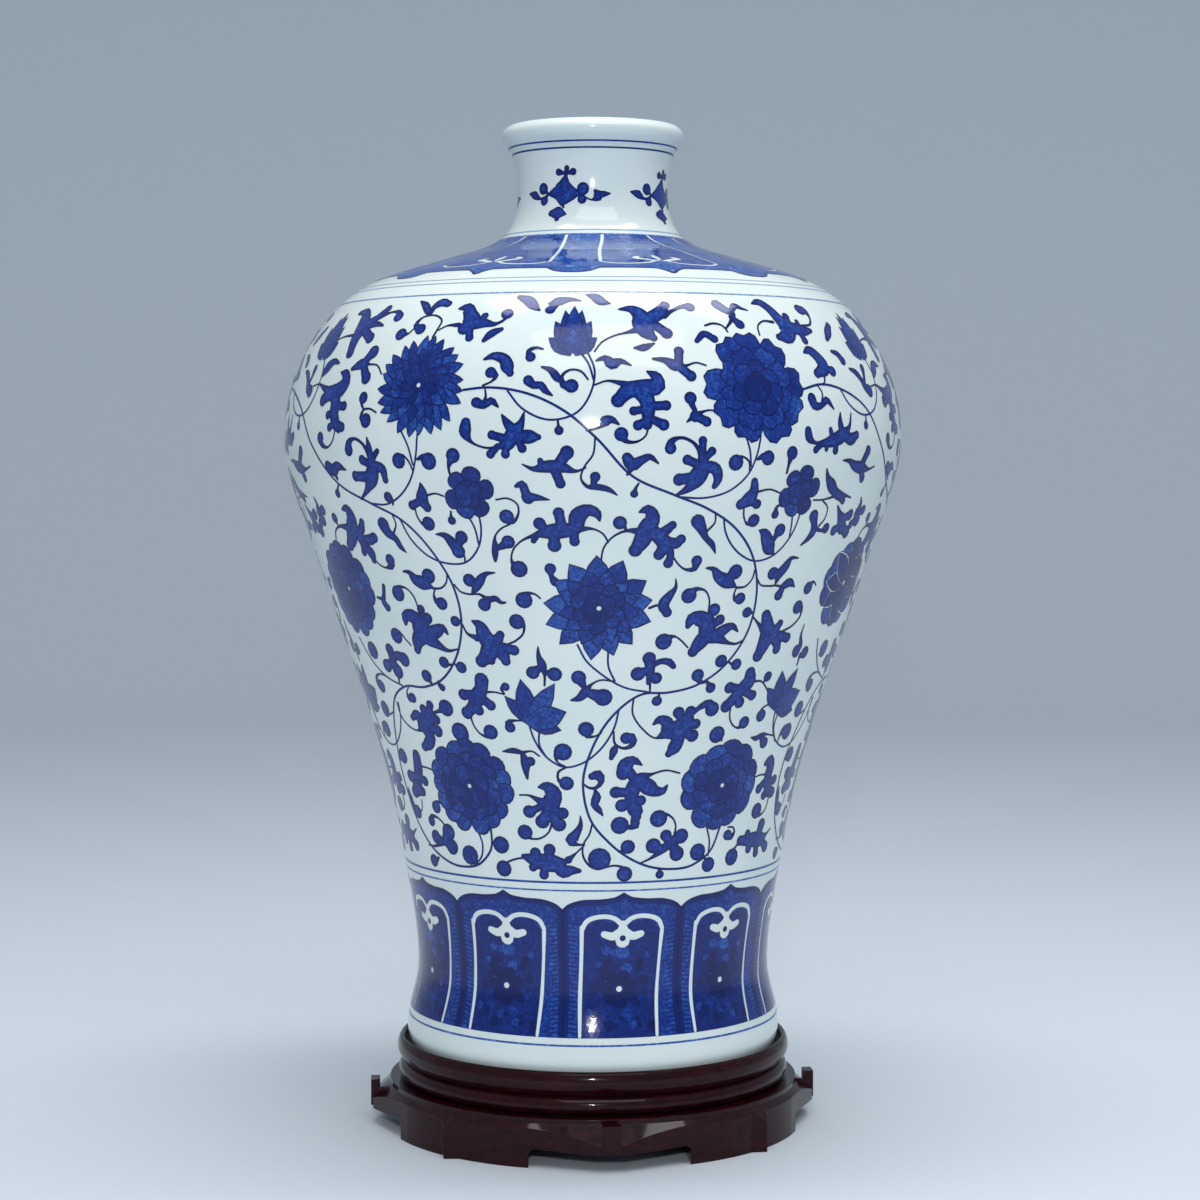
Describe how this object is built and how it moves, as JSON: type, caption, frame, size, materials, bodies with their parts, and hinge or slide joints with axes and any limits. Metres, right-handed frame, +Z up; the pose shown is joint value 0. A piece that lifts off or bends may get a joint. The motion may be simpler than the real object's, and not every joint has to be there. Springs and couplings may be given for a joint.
{
  "type": "meiping vase",
  "caption": "High-shouldered meiping vase with a narrow neck and rolled lip, painted with a lotus scroll, standing loose in a round carved hardwood stand.",
  "frame": {"origin": "middle of the stand's footprint on the table, under the vase's axis", "axes": "+Z up along the vase's axis, -Y towards the front of the stand, +X to its right"},
  "size_m": [0.2404, 0.2404, 0.3901],
  "materials": {
    "porcelain": "clear gloss glaze over cobalt blue painting",
    "hardwood": "very dark red-brown, carved and polished with gloss lacquer",
    "joinery": "plain planed wood, hidden"
  },
  "bodies": {
    "stand": {"seat_board": "hardwood", "moulding_ring": "hardwood", "base_segment_front": "hardwood", "base_segment_right": "hardwood", "base_segment_back": "hardwood", "base_segment_left": "hardwood", "segment_keys": "joinery", "seat_dowels": "joinery"},
    "vase": {"vase_body": "porcelain"}
  },
  "joints": [
    {"name": "vase_lift", "type": "slide", "parent": "stand", "child": "vase", "axis": [0, 0, 1], "range_m": [0, 0.06]}
  ]
}
